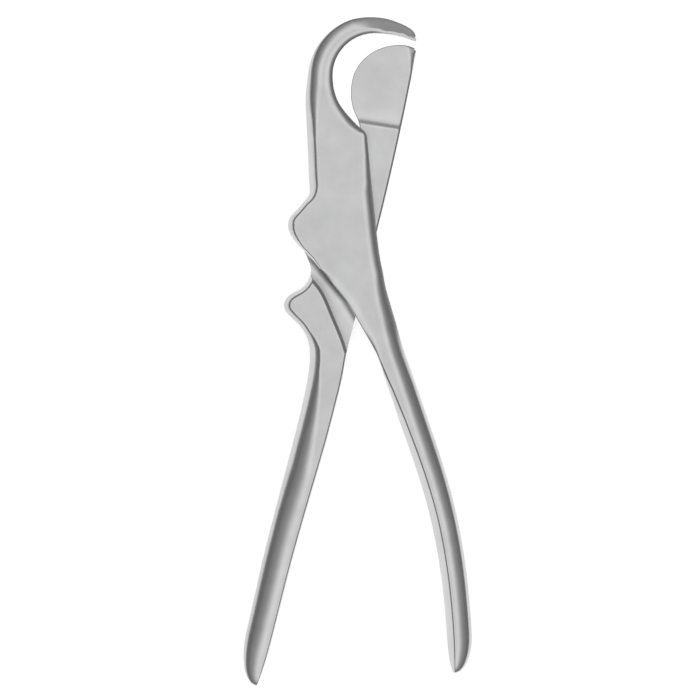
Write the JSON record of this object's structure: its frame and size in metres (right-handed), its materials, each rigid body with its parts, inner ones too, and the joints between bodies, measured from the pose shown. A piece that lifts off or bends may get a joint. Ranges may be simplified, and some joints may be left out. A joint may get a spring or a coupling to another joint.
{
  "type": "rib shears",
  "caption": "Hand-held bypass rib shears in satin steel: a hook-shaped counter-blade and a wide convex blade on crossed levers, with a screw joint and plain bowed handles.",
  "frame": {"origin": "on the joint's axis, in the plane of the rear faces that the shears lie on", "axes": "+Z from the rear faces to the front faces, along the joint's axis; +Y towards the jaws; +X towards the side of the bowed handle"},
  "size_m": [0.072, 0.2105, 0.009],
  "materials": {
    "lever_steel": "satin-brushed forged stainless steel",
    "screw_steel": "turned and brushed stainless steel"
  },
  "bodies": {
    "blade_lever": {"blade_lever": "lever_steel"},
    "hook_lever": {"hook_lever": "lever_steel", "pivot_screw": "screw_steel"}
  },
  "joints": [
    {"name": "lever_pivot", "type": "hinge", "parent": "blade_lever", "child": "hook_lever", "pos_m": [0, 0, 0.0045], "axis": [0, 0, 1], "range_deg": [-12, 45]}
  ]
}
